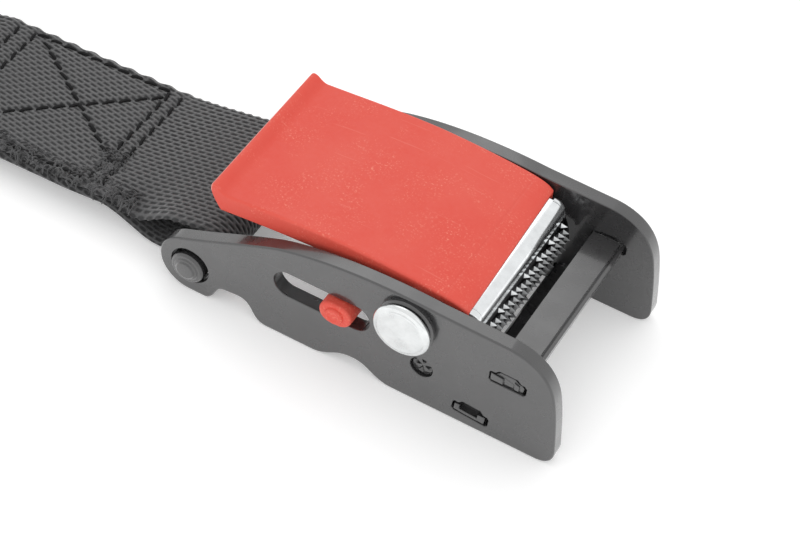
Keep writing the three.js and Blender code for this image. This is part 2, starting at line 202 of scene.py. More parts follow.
def obround(x_low, x_high, z, height, hole=True):
    radius = height / 2
    outline = Outline(x_low + radius, z - radius)
    outline.line(x_high - radius, z - radius)
    outline.arc(x_high - radius, z, radius, -math.pi / 2, math.pi / 2)
    outline.line(x_low + radius, z + radius)
    outline.arc(x_low + radius, z, radius, math.pi / 2, 1.5 * math.pi)
    return outline.closed(hole)


def inset(points, distance):
    """The outline moved into its material, which lies on its left."""
    moved = []
    for i, (x, z) in enumerate(points):
        before = Vector((x, z)) - Vector(points[i - 1])
        after = Vector(points[(i + 1) % len(points)]) - Vector((x, z))
        first = Vector((-before.y, before.x)).normalized()
        second = Vector((-after.y, after.x)).normalized()
        middle = first + second
        middle = first.copy() if middle.length < 1e-6 else middle.normalized()
        reach = distance / max(middle.dot(first), 0.45)
        moved.append((x + middle.x * reach, z + middle.y * reach))
    return moved


HOLE_ROUND = 0.4       # a hole's edge is rounded this much as widely as the rim


def slab(outlines, low, high, low_round=0.4, high_round=0.4, steps=4):
    """A flat part with rounded edges: the first outline is its rim and the others are its holes."""
    rings = []
    for i in range(steps + 1):
        angle = math.pi / 2 * i / steps
        rings.append((low_round * (1 - math.sin(angle)), low + low_round * (1 - math.cos(angle))))
    for i in range(steps, -1, -1):
        angle = math.pi / 2 * i / steps
        rings.append((high_round * (1 - math.sin(angle)), high - high_round * (1 - math.cos(angle))))
    points, faces, starts = [], [], []
    for index, outline in enumerate(outlines):
        count = len(outline)
        share = HOLE_ROUND if index else 1
        starts.append(len(points))
        for distance, y in rings:
            points.extend((x, y, z) for x, z in inset(outline, distance * share))
        for ring in range(len(rings) - 1):
            base = starts[-1] + ring * count
            for i in range(count):
                j = (i + 1) % count
                faces.append((base + i, base + j, base + count + j, base + count + i))
    for ring in (0, len(rings) - 1):
        chosen = []
        for outline, start in zip(outlines, starts):
            first = start + ring * len(outline)
            chosen.append(list(range(first, first + len(outline))))
        flat = [i for loop in chosen for i in loop]
        lines = [[Vector((points[i][0], points[i][2], 0)) for i in loop] for loop in chosen]
        faces.extend(tuple(flat[i] for i in triangle) for triangle in tessellate_polygon(lines))
    return points, faces


def lathe(profile, x, z, segments=72, wobble=None):
    """A turned part about a line along Y. The profile is radius and Y pairs, from axis to axis."""
    points, faces, rows = [], [], []
    for radius, y in profile:
        if radius < 1e-6:
            rows.append([len(points)])
            points.append((x, y, z))
            continue
        rows.append(list(range(len(points), len(points) + segments)))
        for i in range(segments):
            angle = TURN * i / segments
            depth = y + (wobble(radius, angle, y) if wobble else 0)
            points.append((x + radius * math.cos(angle), depth, z + radius * math.sin(angle)))
    for lower, upper in zip(rows, rows[1:]):
        for i in range(segments):
            j = (i + 1) % segments
            if len(lower) == 1 and len(upper) > 1:
                faces.append((lower[0], upper[j], upper[i]))
            elif len(upper) == 1 and len(lower) > 1:
                faces.append((lower[i], lower[j], upper[0]))
            elif len(lower) > 1:
                faces.append((lower[i], lower[j], upper[j], upper[i]))
    if len(rows[0]) > 1:
        first, last = rows[0], rows[-1]
        for i in range(segments):
            j = (i + 1) % segments
            faces.append((last[i], last[j], first[j], first[i]))
    return points, faces


def softened(profile, radius=0.15):
    """The profile with each inner corner cut by a small round."""
    result = [profile[0]]
    for before, here, after in zip(profile, profile[1:], profile[2:]):
        corner = Vector(here)
        back = Vector(before) - corner
        on = Vector(after) - corner
        cut = min(radius, back.length * 0.45, on.length * 0.45)
        start = corner + back.normalized() * cut
        end = corner + on.normalized() * cut
        for i in range(5):
            t = i / 4
            point = start * (1 - t) ** 2 + corner * 2 * t * (1 - t) + end * t * t
            result.append((point.x, point.y))
    result.append(profile[-1])
    return result


def tube(path, radius, sides=10):
    """A round wire or thread along 3-D points, with closed ends."""
    points, faces = [], []
    line = [Vector(p) for p in path]
    normal = None
    for i, here in enumerate(line):
        along = (line[min(i + 1, len(line) - 1)] - line[max(i - 1, 0)]).normalized()
        if normal is None:
            normal = along.orthogonal().normalized()
        normal = (normal - along * normal.dot(along)).normalized()
        side = along.cross(normal)
        taper = 0.55 if i in (0, len(line) - 1) else 1
        for k in range(sides):
            angle = TURN * k / sides
            point = here + (normal * math.cos(angle) + side * math.sin(angle)) * radius * taper
            points.append(tuple(point))
    for i in range(len(line) - 1):
        for k in range(sides):
            j = (k + 1) % sides
            base = i * sides
            faces.append((base + k, base + j, base + sides + j, base + sides + k))
    faces.append(tuple(range(sides)))
    faces.append(tuple(range((len(line) - 1) * sides, len(line) * sides)))
    return points, faces


# ---- Materials ----


class Surface:
    """A procedural material on one Principled shader."""

    def __init__(self, name, **sockets):
        self.material = bpy.data.materials.new(name)
        self.material.use_nodes = True
        self.tree = self.material.node_tree
        self.shader = self.tree.nodes["Principled BSDF"]
        for socket, value in sockets.items():
            self.shader.inputs[socket.replace("_", " ")].default_value = value
        self.place = self.tree.nodes.new("ShaderNodeTexCoord")

    def put(self, socket, source):
        """Sets a socket to a number or colour, or links it to a node's output."""
        if isinstance(source, bpy.types.NodeSocket):
            self.tree.links.new(source, socket)
        else:
            socket.default_value = source

    def noise(self, size, detail=3.0, stretch=(1, 1, 1), rough=0.55):
        """Noise whose features are about size millimetres across, before the stretch."""
        mapping = self.tree.nodes.new("ShaderNodeMapping")
        mapping.inputs["Scale"].default_value = stretch
        self.put(mapping.inputs["Vector"], self.place.outputs["Object"])
        node = self.tree.nodes.new("ShaderNodeTexNoise")
        node.inputs["Scale"].default_value = 1 / (size * MM)
        node.inputs["Detail"].default_value = detail
        node.inputs["Roughness"].default_value = rough
        self.put(node.inputs["Vector"], mapping.outputs["Vector"])
        return node.outputs["Fac"]

    def split(self, place):
        """The X, Y and Z of a kind of texture coordinate."""
        node = self.tree.nodes.new("ShaderNodeSeparateXYZ")
        self.put(node.inputs[0], self.place.outputs[place])
        return node.outputs

    def spread(self, value, low, high, to_low=0.0, to_high=1.0):
        node = self.tree.nodes.new("ShaderNodeMapRange")
        ends = {"From Min": low, "From Max": high, "To Min": to_low, "To Max": to_high}
        for socket, number in ends.items():
            node.inputs[socket].default_value = number
        self.put(node.inputs["Value"], value)
        return node.outputs["Result"]

    def math(self, operation, first, second=0.0):
        node = self.tree.nodes.new("ShaderNodeMath")
        node.operation = operation
        self.put(node.inputs[0], first)
        self.put(node.inputs[1], second)
        return node.outputs[0]

    def mix(self, factor, first, second):
        node = self.tree.nodes.new("ShaderNodeMix")
        node.data_type = "RGBA"
        self.put(node.inputs["Factor"], factor)
        self.put(node.inputs["A"], first)
        self.put(node.inputs["B"], second)
        return node.outputs["Result"]

    def bump(self, height, depth, strength=1.0, under=None):
        node = self.tree.nodes.new("ShaderNodeBump")
        node.inputs["Distance"].default_value = depth * MM
        node.inputs["Strength"].default_value = strength
        self.put(node.inputs["Height"], height)
        if under is not None:
            self.put(node.inputs["Normal"], under)
        return node.outputs["Normal"]

    def finish(self, colour=None, rough=None, normal=None):
        if colour is not None:
            self.put(self.shader.inputs["Base Color"], colour)
        if rough is not None:
            self.put(self.shader.inputs["Roughness"], rough)
        if normal is not None:
            self.put(self.shader.inputs["Normal"], normal)
        return self.material


CREASE_X = 5.0         # a faint moulding line across the cover
WORN_AND_HIGHLIT_TIP = -46.6     # the cover is paler beyond this: rubbed wear and a painted highlight


def black_paint():
    """Glossy black enamel: nearly all of its grey is reflected, so it turns deep black in shade."""
    paint = Surface("black_paint", Specular_IOR_Level=0.85, Coat_Weight=0.9, Coat_Roughness=0.09)
    cloud = paint.noise(14)
    colour = paint.mix(paint.spread(cloud, 0.3, 0.7), (0.022, 0.022, 0.023, 1), (0.034, 0.033, 0.034, 1))
    dust = paint.spread(paint.noise(0.45, 1), 0.80, 0.84)
    colour = paint.mix(dust, colour, (0.10, 0.10, 0.10, 1))
    rough = paint.spread(paint.noise(5, 4), 0.3, 0.7, 0.18, 0.36)
    peel = paint.bump(paint.noise(2.6, 2), 0.03, 0.35)
    runs = paint.bump(paint.noise(9, 2, (0.5, 1, 1)), 0.16, 0.55, peel)
    return paint.finish(colour, rough, runs)


def zinc(name, base, low, high, painted_shade=False):
    """Bright zinc plating with cloudy patches and fine handling marks.

    With painted_shade, the first UV number is how lit each point is, from 0 in a tooth's root to 1, and the
    colour darkens towards 0 as painted shade.
    """
    metal = Surface(name, Metallic=1.0)
    cloud = metal.noise(3, 5)
    colour = metal.mix(metal.spread(cloud, 0.3, 0.7), base, tuple(0.84 * v for v in base[:3]) + (1,))
    marks = metal.spread(metal.noise(0.5, 3, (1, 0.25, 1)), 0.6, 0.75)
    rough = metal.spread(metal.math("ADD", cloud, metal.math("MULTIPLY", marks, 0.25)), 0.3, 0.8, low, high)
    if painted_shade:
        # painted shade: the cam is darkened where its first UV number is low, in the teeth's roots and lower
        # corners
        lit_share = metal.spread(metal.split("UV")[0], 0.1, 0.75)
        colour = metal.mix(lit_share, (0.035, 0.035, 0.036, 1), colour)
    return metal.finish(colour, rough, metal.bump(metal.noise(0.6, 4), 0.02, 0.4))


def red_plastic():
    """Satin moulded red plastic with pale speckle, light scratches, a crease and a paler tip, partly rubbed
    wear and partly a painted highlight.
    """
    plastic = Surface("red_plastic", Specular_IOR_Level=0.45)
    cloud = plastic.spread(plastic.noise(16, 4), 0.3, 0.7)
    colour = plastic.mix(cloud, (0.74, 0.072, 0.046, 1), (0.76, 0.098, 0.066, 1))
    speckle = plastic.spread(plastic.noise(0.42, 3), 0.56, 0.72)
    patch = plastic.spread(plastic.noise(9, 2), 0.42, 0.62)
    colour = plastic.mix(plastic.math("MULTIPLY", speckle, patch), colour, (0.84, 0.22, 0.15, 1))
    scratch = plastic.spread(plastic.noise(2.2, 2, (0.12, 3.5, 1)), 0.68, 0.72)
    colour = plastic.mix(plastic.math("MULTIPLY", scratch, 0.22), colour, (0.88, 0.27, 0.20, 1))
    x = plastic.split("Object")[0]
    # the tip's paler colour is rubbed wear and a painted highlight
    tip = plastic.spread(x, AXLE_X + WORN_AND_HIGHLIT_TIP * MM, AXLE_X + (WORN_AND_HIGHLIT_TIP - 0.4) * MM)
    colour = plastic.mix(tip, colour, (0.92, 0.50, 0.44, 1))
    away = plastic.math("ABSOLUTE", plastic.math("SUBTRACT", x, AXLE_X + CREASE_X * MM))
    crease = plastic.spread(away, 0.05 * MM, 0.35 * MM)
    rough = plastic.spread(plastic.noise(0.9, 4), 0.3, 0.7, 0.42, 0.60)
    grain = plastic.bump(plastic.noise(0.35, 3), 0.03, 0.45)
    marked = plastic.bump(scratch, 0.02, 0.3, grain)
    return plastic.finish(colour, rough, plastic.bump(crease, 0.06, 0.8, marked))


def nylon():
    plastic = Surface("nylon")
    colour = plastic.mix(plastic.noise(2), (0.78, 0.76, 0.70, 1), (0.88, 0.86, 0.80, 1))
    return plastic.finish(colour, plastic.spread(plastic.noise(0.6), 0.3, 0.7, 0.45, 0.6))


RIB = 1.09             # distance between the webbing's ribs
DASH = 2.1             # distance between the dark dips along one gap between ribs
GAP = 1.25             # larger numbers make narrower gaps


def webbing():
    """Woven polyester: ribs with staggered dips between them, painted darker in the dips as shade. UV is
    millimetres along and across.
    """
    cloth = Surface("black_webbing", Roughness=0.85, Sheen_Weight=0.35, Sheen_Roughness=0.5)
    along, across = cloth.split("UV")[:2]
    row = cloth.math("ADD", cloth.math("DIVIDE", across, RIB), 0.5)
    stagger = cloth.math("MULTIPLY", cloth.math("FLOOR", row), 0.5)
    step = cloth.math("FRACT", cloth.math("ADD", cloth.math("DIVIDE", along, DASH), stagger))
    dip = cloth.math("SINE", cloth.math("MULTIPLY", step, math.pi))
    away = cloth.math("ABSOLUTE", cloth.math("SUBTRACT", cloth.math("FRACT", row), 0.5))
    away = cloth.math("MINIMUM", cloth.math("MULTIPLY", away, 2 * GAP), 1.0)
    gap = cloth.math("SUBTRACT", 1.0, cloth.math("MULTIPLY", away, away))
    height = cloth.math("SUBTRACT", 1.0, cloth.math("MULTIPLY", gap, cloth.spread(dip, 0.1, 0.8, 0.12, 1.0)))
    fibre = cloth.tree.nodes.new("ShaderNodeTexNoise")
    stretch = cloth.tree.nodes.new("ShaderNodeMapping")
    stretch.inputs["Scale"].default_value = (0.7, 6.0, 1.0)
    cloth.put(stretch.inputs["Vector"], cloth.place.outputs["UV"])
    cloth.put(fibre.inputs["Vector"], stretch.outputs["Vector"])
    fibre.inputs["Scale"].default_value = 1.6
    fibre.inputs["Detail"].default_value = 4.0
    # the colour follows the weave's height, so the dips carry painted shade
    shade = cloth.math("MULTIPLY", height, cloth.spread(fibre.outputs["Fac"], 0.3, 0.7, 0.7, 1.15))
    colour = cloth.mix(cloth.spread(shade, 0.25, 0.95), (0.014, 0.014, 0.015, 1), (0.114, 0.114, 0.116, 1))
    colour = cloth.mix(cloth.spread(cloth.noise(11), 0.35, 0.7, 0.0, 0.35), colour, (0.066, 0.066, 0.068, 1))
    weave = cloth.bump(height, 0.22, 0.9)
    return cloth.finish(colour, None, cloth.bump(fibre.outputs["Fac"], 0.06, 0.7, weave))


def thread():
    """Dull black sewing thread with a twist."""
    twine = Surface("black_thread", Specular_IOR_Level=0.3)
    twist = twine.noise(0.25, 2)
    colour = twine.mix(twist, (0.004, 0.004, 0.004, 1), (0.016, 0.016, 0.017, 1))
    return twine.finish(colour, twine.spread(twist, 0.3, 0.7, 0.7, 0.9), twine.bump(twist, 0.05, 0.8))


PAINT = black_paint()
ZINC = zinc("zinc_plate", (0.84, 0.86, 0.86, 1), 0.16, 0.32)
# the cam's teeth carry painted shade
CAM_ZINC = zinc("cam_zinc", (0.86, 0.88, 0.89, 1), 0.12, 0.26, painted_shade=True)
WIRE = zinc("spring_steel", (0.62, 0.62, 0.62, 1), 0.22, 0.38)
RED = red_plastic()
NYLON = nylon()
WEBBING = webbing()
THREAD = thread()

# ---- Side plates ----

BAR_WIDTH = 6.0
BAR_THICKNESS = 3.0
# A bar's middle, its tilt, and how far its slot and tab lie from the middle along the plate.
UPPER = {
    "x": centre(upper_low, upper_high)[0], "z": BAR_TOP - BAR_THICKNESS / 2, "tilt": 0.0,
    "key": 0.5,
}
LOWER = {"x": 15.5, "z": 4.1, "tilt": -0.08, "key": 0.1}
ANCHOR_X = -48.6
ANCHOR_Z = 7.1
LOBE_RADIUS = 7.1
SLOT = {"left": -29.3, "right": -7.8, "z": LOCK_Z, "height": 6.4}


def key_outline(bar, grow, hole, shift=0.0, drop=0.0):
    """Slot with a raised middle on its upper side, or the staked tab that fills its lower part."""
    half, end, middle, tall = 3.95 + grow, 1.15 + grow, 1.9 + grow, 2.0 + grow
    step = tall - end
    corners = [
        (-half + 0.5, -end - 0.5), (half - 0.5, -end - 0.5), (half, -end), (half, end - 0.5),
        (half - 0.5, end), (middle + step, end), (middle, tall), (-middle, tall),
        (-middle - step, end), (-half + 0.4, end), (-half, end - 0.4), (-half, -end),
    ]
    return turned_outline([(x + bar["key"] + shift, z - drop) for x, z in corners], bar, hole)


def turned_outline(corners, bar, hole):
    """Corners about a bar's middle, turned by the bar's tilt."""
    cos, sin = math.cos(bar["tilt"]), math.sin(bar["tilt"])
    placed = [(bar["x"] + x * cos - z * sin, bar["z"] + x * sin + z * cos) for x, z in corners]
    outline = Outline(*placed[0])
    for x, z in placed[1:]:
        outline.line(x, z)
    return outline.closed(hole)


def plate_rim():
    right = PLATE_RIGHT
    rim = Outline(ANCHOR_X, ANCHOR_Z - LOBE_RADIUS)
    rim.line(-45.4, 0).curve(-42.4, 0, -43.2, 4.4, -40.4, 4.6).line(-37.4, 4.9)
    rim.curve(-33.4, 5, -34.6, 0, -30.4, 0).line(-20, 0)
    rim.curve(-16, 0, -15, 3.2, -10.6, 3.2).curve(-7, 3.2, -6, 0, -1.6, 0).line(right - 3.9, 0)
    rim.curve(right - 0.7, 0, right + 0.5, 1.5, right + 0.3, 4.4).curve(right - 0.1, 9, 33, 14, 32.2, 17.6)
    rim.curve(31.2, 22.4, 28, 26.4, 21.4, 26.9).line(6, PLATE_TOP)
    rim.curve(-6, 28, -19, 27.2, -29, 23.8).curve(-37, 20.6, -42, 17.6, -50.6, 13.9)
    rim.curve(-53.4, 12.8, -55.5, 10.6, ANCHOR_X - LOBE_RADIUS, ANCHOR_Z + 0.6)
    rim.arc(ANCHOR_X, ANCHOR_Z, LOBE_RADIUS, math.pi, 1.5 * math.pi)
    return rim.closed()


def side_plate(name, node, low, high, low_round, high_round):
    outlines = [
        plate_rim(),
        circle(0, AXLE_Z, 3.35),
        circle(ANCHOR_X, ANCHOR_Z, 4.3),
        circle(STOP_X, STOP_Z, STOP_RADIUS + 0.15),
        obround(SLOT["left"], SLOT["right"], SLOT["z"], SLOT["height"]),
        key_outline(UPPER, 0, True),
        key_outline(LOWER, 0, True),
    ]
    parts = Parts().add(*slab(outlines, low, high, low_round, high_round))
    return make_piece(name, parts, PAINT, "frame", [node])


OUTER_ROUND = 0.45     # rolled edge of the stamping on its outer face
INNER_ROUND = 0.25
side_plate("near_plate", "side_plate_near", -FRAME_OUTER, -FRAME_INNER, OUTER_ROUND, INNER_ROUND)
side_plate("far_plate", "side_plate_far", FRAME_INNER, FRAME_OUTER, INNER_ROUND, OUTER_ROUND)

# ---- Cross bars ----

TAB_REACH = FRAME_OUTER - 0.15


def cross_bar(name, node, bar, sunk):
    """A flat bar with a staked tab at each end. A deeply sunk tab has ears and a sill."""
    half, thick = BAR_WIDTH / 2, BAR_THICKNESS / 2
    body = turned_outline([(-half, -thick), (half, -thick), (half, thick), (-half, thick)], bar, False)
    inside = FRAME_INNER - 0.15
    parts = Parts().add(*slab([body], -inside, inside, 0.2, 0.2))
    tab = key_outline(bar, -0.32, False, -0.28, 0.42)
    reach = TAB_REACH - sunk
    parts.add(*slab([tab], -reach, reach, 0.25, 0.25))
    if sunk > 1:
        for left, right in ((-3.5, -2.3), (1.6, 3.3)):
            corners = [(left, -1.4), (right, -1.4), (right, 0.5), (left, 0.3)]
            ear = turned_outline(corners, bar, False)
            parts.add(*slab([ear], -TAB_REACH, TAB_REACH, 0.2, 0.2))
        sill = turned_outline([(-2.5, -1.45), (1.8, -1.45), (1.8, -0.7), (-2.5, -0.7)], bar, False)
        parts.add(*slab([sill], -TAB_REACH, TAB_REACH, 0.15, 0.15))
    else:
        for left, right, fall in ((-3.2, -0.5, 0.3), (-0.4, 1.7, 0.6), (1.8, 2.9, 0.4)):
            corners = [(left, -1.3), (right, -1.3), (right, 0.5 - fall), (left, 0.6)]
            bite = turned_outline(corners, bar, False)
            reach = TAB_REACH + 0.35 - fall
            parts.add(*slab([bite], -reach, reach, 0.2, 0.2))
    return make_piece(name, parts, PAINT, "frame", [node])


cross_bar("upper_cross_bar", "upper_bar", UPPER, 0.35)
cross_bar("lower_cross_bar", "lower_bar", LOWER, 1.5)

# ---- Axle, washers and pins ----

HEAD_RADIUS = half_width(axle_low, axle_high)
UNDER_HEAD = FRAME_OUTER + 0.15
SHAFT = 3.2


NEAR_HEAD = HEAD_TOP + 0.5        # the photo's head stands a little prouder than the CAD one
HEAD_BACK = FRAME_OUTER + 1.25
rivet = [
    (0, -NEAR_HEAD), (2.6, -NEAR_HEAD), (HEAD_RADIUS - 1.25, -NEAR_HEAD + 0.02),
    (HEAD_RADIUS - 0.95, -NEAR_HEAD + 0.25), (HEAD_RADIUS - 0.35, -NEAR_HEAD + 0.38),
    (HEAD_RADIUS, -NEAR_HEAD + 0.75), (HEAD_RADIUS, -HEAD_BACK - 0.25), (HEAD_RADIUS - 0.4, -HEAD_BACK),
    (4.6, -HEAD_BACK), (4.4, -UNDER_HEAD),
    (SHAFT, -UNDER_HEAD), (SHAFT, UNDER_HEAD), (HEAD_RADIUS - 1, UNDER_HEAD),
    (HEAD_RADIUS - 1, UNDER_HEAD + 0.9), (HEAD_RADIUS - 2.6, HEAD_TOP), (0, HEAD_TOP),
]
make_piece("axle_rivet", Parts().add(*lathe(softened(rivet, 0.22), 0, AXLE_Z, 96)), ZINC,
           "frame", ["cam_axle"])

collar = [
    (4.75, -FRAME_OUTER + 0.3), (HEAD_RADIUS - 0.1, -FRAME_OUTER + 0.3),
    (HEAD_RADIUS - 0.1, -FRAME_OUTER - 0.35),
    (HEAD_RADIUS - 0.6, -FRAME_OUTER - 0.75), (4.75, -FRAME_OUTER - 0.75),
]
make_piece("rivet_collar", Parts().add(*lathe(softened(collar, 0.15), 0, AXLE_Z, 96)), PAINT,
           "frame")

for label, side in (("near", -1), ("far", 1)):
    inner, outer = side * (LEVER_HALF + 0.15), side * (FRAME_INNER - 0.15)
    washer = [
        (SHAFT + 0.15, inner), (WASHER_RADIUS, inner), (WASHER_RADIUS, outer), (SHAFT + 0.15, outer),
    ]
    make_piece(f"{label}_washer", Parts().add(*lathe(washer, 0, AXLE_Z)), NYLON,
               "frame", [f"axle_washer_{label}"])


def staked(radius, angle, y):
    """Four chisel dents across a pin's end."""
    edge = min(1, radius / 0.8) * max(0, 1 - abs(radius - 1.2))
    return -math.copysign(1, y) * 1.25 * edge * max(0, math.cos(4 * angle + 0.6)) ** 1.5


STOP_FACE = FRAME_OUTER - 0.5
rings = [(0.05 + STOP_RADIUS * i / 12, STOP_FACE - 0.35) for i in range(12)]
rings += [(STOP_RADIUS - 0.18, STOP_FACE), (STOP_RADIUS, STOP_FACE - 0.25)]
stop = [(0, -STOP_FACE + 0.35)] + [(r, -y) for r, y in rings] + [(r, y) for r, y in reversed(rings)]
stop.append((0, STOP_FACE - 0.35))
make_piece("stop_pin_staked", Parts().add(*lathe(stop, STOP_X, STOP_Z, 48, staked)), PAINT,
           "frame", ["stop_pin"])

PIN_FACE = FRAME_OUTER + 1.0
BOSS_FACE = FRAME_OUTER + 1.7
anchor = [
    (0, -BOSS_FACE), (1.9, -BOSS_FACE), (2.2, -BOSS_FACE + 0.35), (2.6, -BOSS_FACE + 0.4),
    (2.75, -PIN_FACE), (ANCHOR_RADIUS - 0.4, -PIN_FACE), (ANCHOR_RADIUS, -PIN_FACE + 0.45),
    (ANCHOR_RADIUS, PIN_FACE - 0.45), (ANCHOR_RADIUS - 0.4, PIN_FACE), (2.75, PIN_FACE),
    (2.6, BOSS_FACE - 0.4), (2.2, BOSS_FACE - 0.35), (1.9, BOSS_FACE), (0, BOSS_FACE),
]
make_piece("anchor_pin_turned", Parts().add(*lathe(softened(anchor, 0.18), ANCHOR_PIN_X, ANCHOR_PIN_Z)),
           PAINT, "frame", ["anchor_pin"])

# ---- Toothed cam lever ----

NOSE_TOP = 0.10        # angle about the axle where the smooth top of the nose meets its teeth
NOSE_END = -0.27
NOSE_OVERHANG = 0.9    # the nose reaches this far past the hub on each side
HUB_RADIUS = 6.0
NOSE_RADIUS = 13.1
NOSE_GROWTH = 2.1      # by which the radius has grown at the nose's lower end
TOOTH_PITCH = 1.77     # across the cam
TOOTH_ROW = 1.6        # down the nose
TOOTH_SKEW = 0.53      # each tooth sits this far below its neighbour, and every third starts again
TOOTH_HEIGHT = 1.15
FIRST_TOOTH = 0.85     # from the top of the nose down to the middle of the first tooth
NOSE_SHADE = 2.3       # the teeth's painted shade deepens further down the nose
TOOTH_LIGHT = (1.3, 0.5, 0.0, 0.5, 1.3)   # painted light on each tooth, from a lit upper corner to a shaded lower corner: upper corner, side, lower corner, side and peak


def nose_radius(angle):
    """Radius of the tooth roots: the nose grows towards its lower end."""
    share = min(1, max(0, (NOSE_TOP - angle) / (NOSE_TOP - NOSE_END)))
    return NOSE_RADIUS + NOSE_GROWTH * share


def on_nose(angle, lift=0.0):
    radius = nose_radius(angle) + lift
    return radius * math.cos(angle), AXLE_Z + radius * math.sin(angle)


def nose_line():
    """Points down the nose with the distance travelled at each."""
    points = [on_nose(NOSE_TOP + (NOSE_END - NOSE_TOP) * i / 60) for i in range(61)]
    travelled = [0.0]
    for a, b in zip(points, points[1:]):
        travelled.append(travelled[-1] + math.dist(a, b))
    return points, travelled


def tooth(s, y, points, travelled):
    """One four-sided tooth whose upper side is the widest, at distance s down the nose."""
    def at(distance):
        index = next((i for i, t in enumerate(travelled) if t >= distance), len(travelled) - 1)
        index = max(index, 1)
        (x0, z0), (x1, z1) = points[index - 1], points[index]
        share = (distance - travelled[index - 1]) / (travelled[index] - travelled[index - 1])
        along = Vector((x1 - x0, z1 - z0)).normalized()
        return Vector((x0 + (x1 - x0) * share, z0 + (z1 - z0) * share)), Vector((-along.y, along.x))
    half_row, half_pitch = TOOTH_ROW * 0.5, TOOTH_PITCH * 0.5
    corners = []
    for ds, dy in ((-half_row, 0), (0, half_pitch), (half_row, 0), (0, -half_pitch)):
        spot, out = at(min(max(s + ds, 0), travelled[-1]))
        base = spot - out * 0.25
        corners.append((base.x, y + dy, base.y))
    spot, out = at(min(s + half_row * 0.35, travelled[-1]))
    peak = spot + out * TOOTH_HEIGHT
    corners.append((peak.x, y, peak.y))
    return corners, [(0, 1, 4), (1, 2, 4), (2, 3, 4), (3, 0, 4), (3, 2, 1, 0)]


def lit_share_at(x, z):
    """0 on the toothed face of the nose, which is painted in shade, and 1 elsewhere."""
    angle = math.atan2(z - AXLE_Z, x)
    return 0.0 if x > 10 and NOSE_END - 0.05 < angle < NOSE_TOP + 0.02 else 1.0


def cam_lever():
    rim = Outline(-42.4, 22.4).curve(-33, 23, -20, 23.2, -11, 22.6)
    low = math.pi * 1.1
    rim.curve(-8.5, 22.4, -7, 21.4, HUB_RADIUS * math.cos(low), AXLE_Z + HUB_RADIUS * math.sin(low))
    rim.arc(0, AXLE_Z, HUB_RADIUS, low, math.pi * 1.9).line(9.5, 18)
    points, travelled = nose_line()
    for x, z in reversed(points):
        rim.line(x, z)
    rim.curve(12.9, 24.1, 12.2, 25.3, 10.2, 25.4)
    rim.curve(7, 25.4, 2, 25.5, -4, 25.4).curve(-16, 25.6, -30, 25.4, -42.4, 24)
    outlines = [rim.closed(), circle(0, AXLE_Z, SHAFT + 0.15)]
    parts = Parts().add(*slab(outlines, -LEVER_HALF, LEVER_HALF, 0.6, 0.4))
    nose = Outline(10.2, 18.2)
    for x, z in reversed(points):
        nose.line(x, z)
    nose.curve(12.9, 24.1, 12.2, 25.3, 10.2, 25.4)
    joined, end = LEVER_HALF - 0.8, LEVER_HALF + NOSE_OVERHANG
    parts.add(*slab([nose.closed()], joined, end, 0.1, 0.7))
    parts.add(*slab([nose.closed()], -end, -joined, 0.7, 0.1))
    lit_share = [(lit_share_at(x, z), 0.0) for x, _, z in parts.points]
    columns = int(2 * (LEVER_HALF - 0.6) / TOOTH_PITCH)
    for column in range(columns + 1):
        y = (column - columns / 2) * TOOTH_PITCH
        s = FIRST_TOOTH + TOOTH_SKEW * (column % 3)
        while s < travelled[-1] - 0.4:
            parts.add(*tooth(s, y, points, travelled))
            # painted light on each tooth, dimmer further down the nose as painted shade
            shine = math.exp(-s / NOSE_SHADE)
            lit_share += [(value * shine, 0.0) for value in TOOTH_LIGHT]
            s += TOOTH_ROW
    return make_piece("toothed_cam", parts, CAM_ZINC, "lever", ["cam_lever"],
                      sharp=25, uv=lit_share)


cam_lever()

# ---- Red lever cover ----

COVER_WALL = 1.2
COVER_ROUND = 0.6
COVER_EXTRA = 0.8      # the cover sits this much towards the far plate
CORNER_BITE = 1.5      # how far the far corner beside the nose is drawn back


def corner_cut(x, y):
    """X of a cover point once its far corner is drawn back into a curve."""
    share = max(0, (y - 12) / (COVER_HALF + COVER_EXTRA - 12))
    return x - CORNER_BITE * share**2.5 * max(0, (x - 3) / 7.4)


def lever_cover():
    rim = Outline(-44.6, 21.6).curve(-45.5, 22.6, -46.7, 24.6, -47.1, 26.2)
    rim.curve(-47.2, 27.4, -46.8, 28.0, -46, 27.9).curve(-44.9, 27.7, -44.5, 26.6, -43.2, 26.5)
    rim.curve(-34, 27.3, -26, 28.4, -16, 28.6).curve(-8, 28.6, 0, 28.0, 5, 27.4)
    rim.curve(7.4, 27.1, 9.4, 26.6, 10.4, 25.7).line(10.4, 23.8).line(-4, 24.2)
    rim.curve(-16, 24, -30, 23.4, -44.6, 21.6)
    hollow = Outline(-43.0, 18).line(12, 18).line(12, 25.45).line(9.8, 25.5)
    hollow.curve(2, 25.75, -2, 25.85, -6, 25.8).curve(-18, 26, -32, 25.4, -43.0, 24.2)
    far_side = COVER_HALF + COVER_EXTRA
    block = Parts().add(*slab([rim.closed()], -COVER_HALF, far_side, COVER_ROUND, COVER_ROUND, 6))
    block.points = [(corner_cut(x, y), y, z) for x, y, z in block.points]
    inside = COVER_HALF - COVER_WALL
    cutter_parts = Parts().add(*slab([hollow.closed()], -inside, inside, 0.3, 0.3))
    cover = make_piece("red_cover", block, RED, None, ["lever_cover"])
    cutter = make_piece("cutter", cutter_parts, RED, None)
    cut = cover.modifiers.new("hollow", "BOOLEAN")
    cut.object = cutter
    cut.solver = "EXACT"
    cut.operation = "DIFFERENCE"
    bpy.context.view_layer.update()
    graph = bpy.context.evaluated_depsgraph_get()
    hollowed = bpy.data.meshes.new_from_object(cover.evaluated_get(graph))
    cover.modifiers.remove(cut)
    cover.data = hollowed
    bpy.data.objects.remove(cutter)
    hollowed.shade_smooth()
    hollowed.set_sharp_from_angle(angle=math.radians(38))
    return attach(cover, "lever")


lever_cover()

# ---- Lock bar, buttons and springs ----

